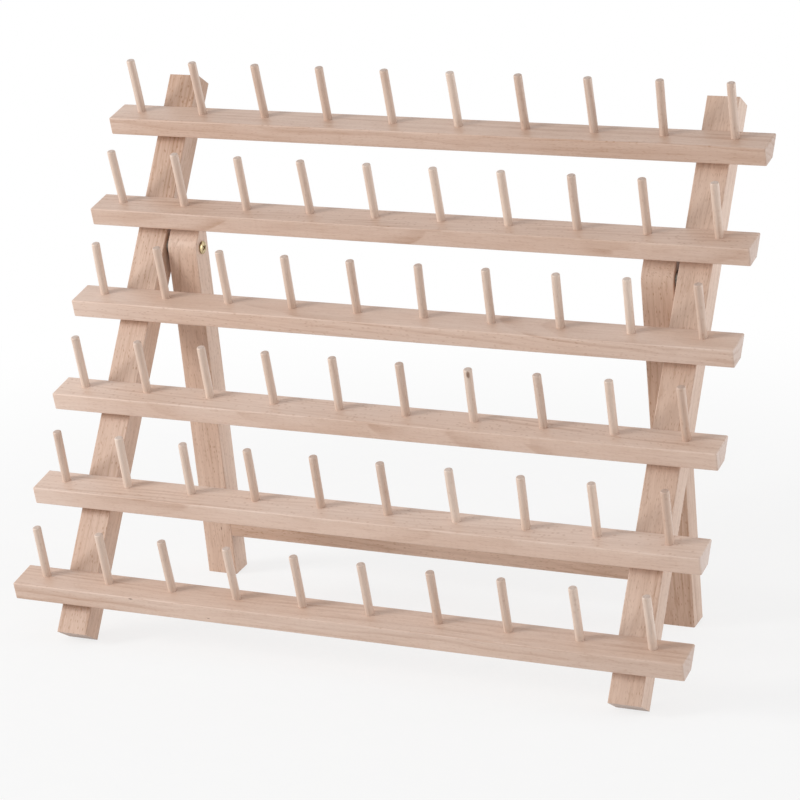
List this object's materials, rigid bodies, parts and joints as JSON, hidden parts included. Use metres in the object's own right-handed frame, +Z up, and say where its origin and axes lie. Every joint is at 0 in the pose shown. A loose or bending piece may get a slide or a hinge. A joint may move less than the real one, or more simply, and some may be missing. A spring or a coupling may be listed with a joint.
{
  "type": "folding thread spool rack",
  "caption": "Free-standing beech rack with rows of upright pegs for thread spools on leaning legs and a fold-flat rear frame.",
  "frame": {"origin": "middle of the footprint, on the surface that the rack stands on, in the open pose of the picture", "axes": "+X to the right along the rails seen from the front, +Y to the back, +Z up"},
  "size_m": [0.4, 0.1792, 0.3101],
  "materials": {
    "beech_rail": "bare, sanded beech with a thin clear coat",
    "beech_leg": "bare, sanded beech with a thin clear coat",
    "beech_peg": "bare, sanded beech with a thin clear coat",
    "brass_screw": "satin",
    "steel_washer": "zinc plated"
  },
  "bodies": {
    "front_frame": {"left_front_leg": "beech_leg", "right_front_leg": "beech_leg", "rail_1": "beech_rail", "pegs_1": "beech_peg", "rail_2": "beech_rail", "pegs_2": "beech_peg", "rail_3": "beech_rail", "pegs_3": "beech_peg", "rail_4": "beech_rail", "pegs_4": "beech_peg", "rail_5": "beech_rail", "pegs_5": "beech_peg", "rail_6": "beech_rail", "pegs_6": "beech_peg", "left_rail_screws": "brass_screw", "right_rail_screws": "brass_screw", "left_pivot_screw": "brass_screw", "left_pivot_washer": "steel_washer", "right_pivot_screw": "brass_screw", "right_pivot_washer": "steel_washer"},
    "rear_frame": {"left_rear_leg": "beech_leg", "right_rear_leg": "beech_leg", "cross_bar": "beech_leg", "left_bar_screw": "brass_screw", "right_bar_screw": "brass_screw"}
  },
  "joints": [
    {"name": "rear_frame_fold", "type": "hinge", "parent": "front_frame", "child": "rear_frame", "pos_m": [0, 0.03333, 0.2052], "axis": [1, 0, 0], "range_deg": [-37.3, 0]}
  ]
}
